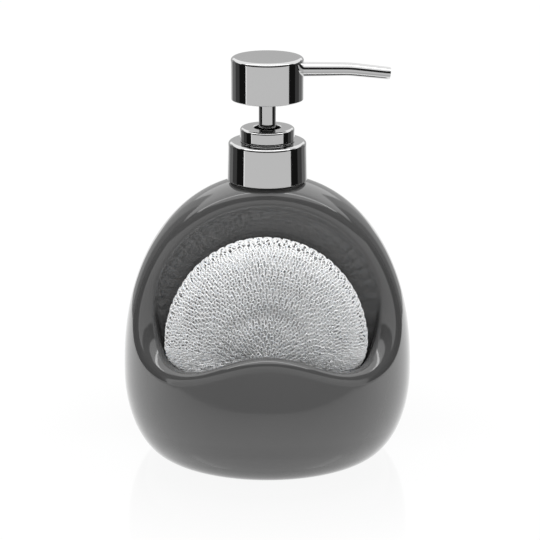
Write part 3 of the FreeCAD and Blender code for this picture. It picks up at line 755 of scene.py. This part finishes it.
def knitted_net(name, gap, cell, sink, seed, open_brim=0.0):
    """Courses of linked loops, laid round the pad from one hollow to the other."""
    draw = random.Random(seed)
    per_stitch, sides, fewest = 6, 4, 9
    half_steps, ring_steps, per_radian = 50, 50, 8
    first, last = 0.02, 1.98
    length = path_length(lambda i: pad_point(PROFILE_TURN, i / half_steps), 2 * half_steps)
    courses = int(length / gap)
    shares = arc_shares(courses)
    lumps = [(draw.randint(*LUMP_WAVES), draw.uniform(-LUMP_SLANT, LUMP_SLANT),
              draw.uniform(0, LUMP_START)) for _ in range(LUMPS)]
    points, faces = [], []
    for course in range(2, courses - 1):
        low, mid, high = shares[course - 1], shares[course], shares[course + 1]
        if abs(1 - mid) < open_brim:
            continue
        ring = path_length(lambda k: pad_point(k / per_radian, mid), ring_steps)
        hem = abs(1 - mid) < HEM
        stitches = max(fewest, round(ring / (HEM_CELL if hem else cell)))
        reach = (high - low) / 2 * (HEM_REACH if hem else LOOP_REACH)
        count = stitches * per_stitch
        drift = draw.random() * SWAY_START
        shift = draw.random()
        sizes = [LOOP_LEAST + LOOP_SPREAD * draw.random() for _ in range(stitches)]
        lifts = [LOOP_UNEVEN * draw.random() for _ in range(stitches)]
        pits = [PIT_DEPTH * (draw.random() < PIT_SHARE) for _ in range(stitches)]
        path = []
        for i in range(count):
            stitch = i // per_stitch
            turn = 2 * math.pi * i / count
            phase = math.pi * 2 * (i / per_stitch + shift)
            lump = sum(math.sin(a * turn + b * mid + c) for a, b, c in lumps) / LUMP_CALM
            lump *= LUMP_LEAST + LUMP_FOOT * (1 - math.sin(turn))
            along = mid + reach * sizes[stitch] * (1 - LUMP_PULL * lump) * math.cos(phase)
            sway = SWAY * math.sin(SWAY_WAVES * turn + drift)
            swing = (LOOP_SWING * math.sin(2 * phase) + sway) / stitches
            lift = LOOP_LIFT * math.cos(phase) + lifts[stitch] + LUMP_DEPTH * min(lump, 0.0)
            lift = lift - LOOP_DEPTH - sink - pits[stitch] * lower_share(turn)
            path.append(Vector(pad_point(turn + swing, min(max(along, first), last), lift)))
        start = len(points)
        for i in range(count):
            ahead = (path[(i + 1) % count] - path[i - 1]).normalized()
            outward = (path[i] - Vector(PAD_CENTRE)).normalized()
            side = ahead.cross(outward).normalized()
            up = side.cross(ahead)
            for k in range(sides):
                a = 2 * math.pi * (k + 0.5) / sides
                points.append(tuple(path[i] + (side * math.cos(a) + up * math.sin(a)) * YARN))
        for i in range(count):
            j = (i + 1) % count
            for k in range(sides):
                m = (k + 1) % sides
                faces.append([start + i * sides + k, start + j * sides + k,
                              start + j * sides + m, start + i * sides + m])
    piece = mesh_piece(name, points, faces, NET, "scrubber", 0)
    return piece


def inner_layers():
    """The folded layers of net under the outside ones."""
    rows, segments = 60, 160
    depth, foot_depth, brim_depth = 1.1, 1.6, 2.2
    shares = arc_shares(rows)
    points, faces = [], []
    for i in range(1, rows):
        brim = 1 - abs(1 - shares[i])
        for k in range(segments):
            turn = 2 * math.pi * k / segments
            sunk = -depth - foot_depth * lower_share(turn) - brim_depth * brim ** 6
            points.append(pad_point(turn, shares[i], sunk))
    for i in range(rows - 2):
        for k in range(segments):
            m = (k + 1) % segments
            a, b = i * segments, (i + 1) * segments
            faces.append([a + k, b + k, b + m, a + m])
    faces.append(list(range(segments)))
    faces.append([(rows - 2) * segments + k for k in range(segments)][::-1])
    piece = mesh_piece("net_layers", points, faces, NET_INSIDE, "scrubber", 0)


# Stage, metres: pale floor, soft light, and cards that only glossy surfaces mirror

def floor_material():
    """White to the camera and in mirrors, with the object's shadow and its faint reflection."""
    base, rough = 0.25, 0.3
    seen_share, glow_level = 0.955, 1.045
    mirror_share, mirror_rough, mirror_span = 0.08, 0.08, (0.055, 0.125)
    material = bpy.data.materials.new("pale_floor")
    material.use_nodes = True
    tree = material.node_tree
    skin = tree.nodes["Principled BSDF"]
    skin.inputs["Base Color"].default_value = (*grey(base), 1)
    skin.inputs["Roughness"].default_value = rough
    path = tree.nodes.new("ShaderNodeLightPath")
    seen = computed(tree, "MAXIMUM", path.outputs["Is Camera Ray"], path.outputs["Is Glossy Ray"])
    share = computed(tree, "MULTIPLY", seen, seen_share)
    glow = tree.nodes.new("ShaderNodeEmission")
    glow.inputs["Strength"].default_value = glow_level
    white = blended(tree, share, skin.outputs["BSDF"], glow.outputs["Emission"])
    mirror = tree.nodes.new("ShaderNodeBsdfGlossy")
    mirror.inputs["Roughness"].default_value = mirror_rough
    away = from_origin(tree, "LENGTH")
    fade = ranged(tree, away.outputs["Value"], mirror_span, (mirror_share, 0.0))
    whole = blended(tree, fade, white, mirror.outputs["BSDF"])
    tree.links.new(whole, tree.nodes["Material Output"].inputs["Surface"])
    return material


def floor():
    """Pale floor under the foot."""
    half = 6.0
    corners = [(-half, -half, 0), (half, -half, 0), (half, half, 0), (-half, half, 0)]
    mesh = bpy.data.meshes.new("floor")
    mesh.from_pydata(corners, [], [(0, 1, 2, 3)])
    mesh.materials.append(floor_material())
    piece = bpy.data.objects.new("floor", mesh)
    bpy.context.scene.collection.objects.link(piece)


def studio_card(name, corners, level, faces=((0, 1, 2, 3),)):
    """Dark, grey or bright card that only glossy surfaces show; returns its material's nodes."""
    mesh = bpy.data.meshes.new(name)
    mesh.from_pydata(corners, [], faces)
    material = bpy.data.materials.new(name)
    material.use_nodes = True
    tree = material.node_tree
    glow = tree.nodes.new("ShaderNodeEmission")
    glow.inputs["Color"].default_value = (level, level, level, 1)
    tree.links.new(glow.outputs["Emission"], tree.nodes["Material Output"].inputs["Surface"])
    mesh.materials.append(material)
    card = bpy.data.objects.new(name, mesh)
    card.visible_camera = False
    card.visible_diffuse = False
    card.visible_shadow = False
    bpy.context.scene.collection.objects.link(card)
    return tree


def strip_faces(steps):
    """Quads of a strip whose corners come in pairs."""
    return [(2 * i, 2 * i + 2, 2 * i + 3, 2 * i + 1) for i in range(steps)]


def arc_card(name, span, heights, level, radius=0.32, steps=16):
    """Card bent round the pump axis between two angles from the camera's side."""
    corners = []
    for i in range(steps + 1):
        turn = math.radians(span[0] + (span[1] - span[0]) * i / steps)
        for z in heights:
            corners.append((radius * math.sin(turn), -radius * math.cos(turn), z))
    studio_card(name, corners, level, strip_faces(steps))


def near_card(name, edge, far, bend, height, level, steps=24):
    """Flat card a little over the floor, with a bowed near edge."""
    corners = []
    for i in range(steps + 1):
        x = far * (2 * i / steps - 1)
        corners.append((x, bend - edge - math.sqrt(bend * bend - x * x), height))
        corners.append((x, -math.sqrt(max(far * far - x * x, 0.0)) - edge, height))
    studio_card(name, corners, level, strip_faces(steps))


def dim_patch(name, radii, half, height, levels, steps=32):
    """Flat patch over the floor before the object that dims outwards, seen only from above."""
    corners = []
    for i in range(steps + 1):
        turn = math.radians(half * (2 * i / steps - 1))
        for radius in radii:
            corners.append((radius * math.sin(turn), -radius * math.cos(turn), height))
    upward = [(2 * i, 2 * i + 1, 2 * i + 3, 2 * i + 2) for i in range(steps)]
    tree = studio_card(name, corners, 1.0, upward)
    glow = tree.nodes["Emission"]
    facing = tree.nodes.new("ShaderNodeNewGeometry")
    clear = tree.nodes.new("ShaderNodeBsdfTransparent")
    sided = blended(tree, facing.outputs["Backfacing"], glow.outputs["Emission"],
                    clear.outputs["BSDF"])
    tree.links.new(sided, tree.nodes["Material Output"].inputs["Surface"])
    away = from_origin(tree, "LENGTH")
    toward = from_origin(tree, "NORMALIZE")
    split = tree.nodes.new("ShaderNodeSeparateXYZ")
    tree.links.new(toward.outputs["Vector"], split.inputs["Vector"])
    outward = ranged(tree, away.outputs["Value"], radii, (0.0, levels[0] - levels[1]))
    front_span = (-0.95, -0.2)
    before = ranged(tree, split.outputs["Y"], front_span, (1.0, 0.0))
    dim = computed(tree, "MULTIPLY", outward, before)
    tree.links.new(computed(tree, "SUBTRACT", levels[0], dim), glow.inputs["Strength"])


def area_light(name, place, target, size, power):
    """Soft lamp that lights the object and isn't mirrored in it."""
    lamp = bpy.data.lights.new(name, "AREA")
    lamp.shape = "RECTANGLE"
    lamp.size, lamp.size_y = size
    lamp.energy = power
    holder = bpy.data.objects.new(name, lamp)
    holder.location = place
    holder.rotation_euler = (Vector(target) - Vector(place)).to_track_quat("-Z", "Y").to_euler()
    holder.visible_glossy = False
    bpy.context.scene.collection.objects.link(holder)


def soft_world():
    """White to the camera, in mirrors and through clear pieces, and dimmer as a light."""
    light_level = 0.58
    world = bpy.data.worlds.new("studio")
    world.use_nodes = True
    bpy.context.scene.world = world
    tree = world.node_tree
    tree.nodes.clear()
    path = tree.nodes.new("ShaderNodeLightPath")
    direct = computed(tree, "MAXIMUM", path.outputs["Is Camera Ray"],
                      path.outputs["Is Transmission Ray"])
    seen = computed(tree, "MAXIMUM", direct, path.outputs["Is Glossy Ray"])
    light = tree.nodes.new("ShaderNodeBackground")
    light.inputs["Color"].default_value = (1, 1, 1, 1)
    level = ranged(tree, seen, (0.0, 1.0), (light_level, 1.0))
    tree.links.new(level, light.inputs["Strength"])
    out = tree.nodes.new("ShaderNodeOutputWorld")
    tree.links.new(light.outputs["Background"], out.inputs["Surface"])


def studio():
    """Soft light from above and both sides, and the cards that the chrome and the glaze mirror."""
    soft_world()
    dim_patch("floor_dim", radii=(0.066, 0.19), half=80, height=0.001, levels=(0.99, 0.42))
    near_card("dark_near", edge=0.128, far=0.24, bend=0.30, height=0.002, level=0.48)
    arc_card("front_panel", span=(-67, 70), heights=(0.0, 0.20), level=0.63)
    arc_card("front_shade", span=(-70, 70), heights=(0.20, 0.46), level=0.02)
    flags = (("black_flag", 70, 96, 0.40, 0.008), ("dark_flag", 96, 116, 0.30, 0.05),
             ("mid_flag", 116, 136, 0.30, 0.15), ("pale_flag", 136, 150, 0.30, 0.38))
    for hand in (-1, 1):
        for name, near, far, top, level in flags:
            arc_card(name, (near * hand, far * hand), (0.0, top), level)
    wide, back, low, high = 1.5, 1.0, 0.05, 0.405
    studio_card("grey_back", [(-wide, back, low), (wide, back, low),
                              (wide, back, high), (-wide, back, high)], level=0.5)
    wide, front, back, high = 1.2, -0.15, -0.05, 1.1
    studio_card("strip_light", [(-wide, front, high), (wide, front, high),
                                (wide, back, high), (-wide, back, high)], level=4.0)
    aim = (0, 0, 0.08)
    area_light("top_soft", (0.0, -0.1, 1.1), aim, size=(1.2, 0.6), power=9.5)
    area_light("left_soft", (-0.9, -0.4, 0.6), aim, size=(0.5, 0.7), power=4.5)
    area_light("right_soft", (0.9, -0.4, 0.6), aim, size=(0.5, 0.7), power=4.5)


def camera():
    """The photograph's view: 0.8 m in front, looking down at the pitch fitted to it."""
    pitch = 0.3062
    eye = bpy.data.cameras.new("photo_eye")
    eye.sensor_width = 36.0
    eye.lens = 134.88
    eye.shift_x = 0.005
    eye.clip_start = 0.01
    holder = bpy.data.objects.new("photo_eye", eye)
    holder.location = (0.0, -0.8, 0.3314)
    holder.rotation_euler = (math.pi / 2 - pitch, 0.0, 0.0)
    bpy.context.scene.collection.objects.link(holder)
    bpy.context.scene.camera = holder


def dress_nodes():
    """Finishes of the nodes that keep their solid."""
    coats = {
        "neck_insert": WHITE_PLASTIC, "neck_gasket": RUBBER, "pump_cylinder": CLEAR_PLASTIC,
        "inlet_ball": STEEL, "dip_tube": CLEAR_PLASTIC, "chaplet": BLACK_PLASTIC,
        "collar_liner": BLACK_PLASTIC, "piston": CLEAR_PLASTIC, "stem_tube": CLEAR_PLASTIC,
        "stem_plug": CLEAR_PLASTIC, "head_core": BLACK_PLASTIC,
    }
    for node, coat in coats.items():
        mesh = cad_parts[node].data
        mesh.materials.clear()
        mesh.materials.append(coat)


bpy.context.scene.view_settings.view_transform = "Standard"
glazed_egg()
collar()
guide_ring()
stem()
head()
nozzle()
neck_thread = thread("neck_thread", radius=13.38, depth=0.6, bottom=120.6, turns=1.6,
                     material=WHITE_PLASTIC, body="caddy")
liner_thread = thread("liner_thread", radius=14.27, depth=0.5, bottom=122.715, turns=1.1,
                      material=BLACK_PLASTIC, body="collar", inward=True)
spring_coil()
inner_layers()
outer_net = knitted_net("knitted_net", gap=1.3, cell=2.25, sink=0.1, seed=7)
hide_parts("scrubber")
knitted_net("knitted_net_under", gap=1.45, cell=2.4, sink=0.5, seed=21, open_brim=0.06)
dress_nodes()
floor()
studio()
camera()
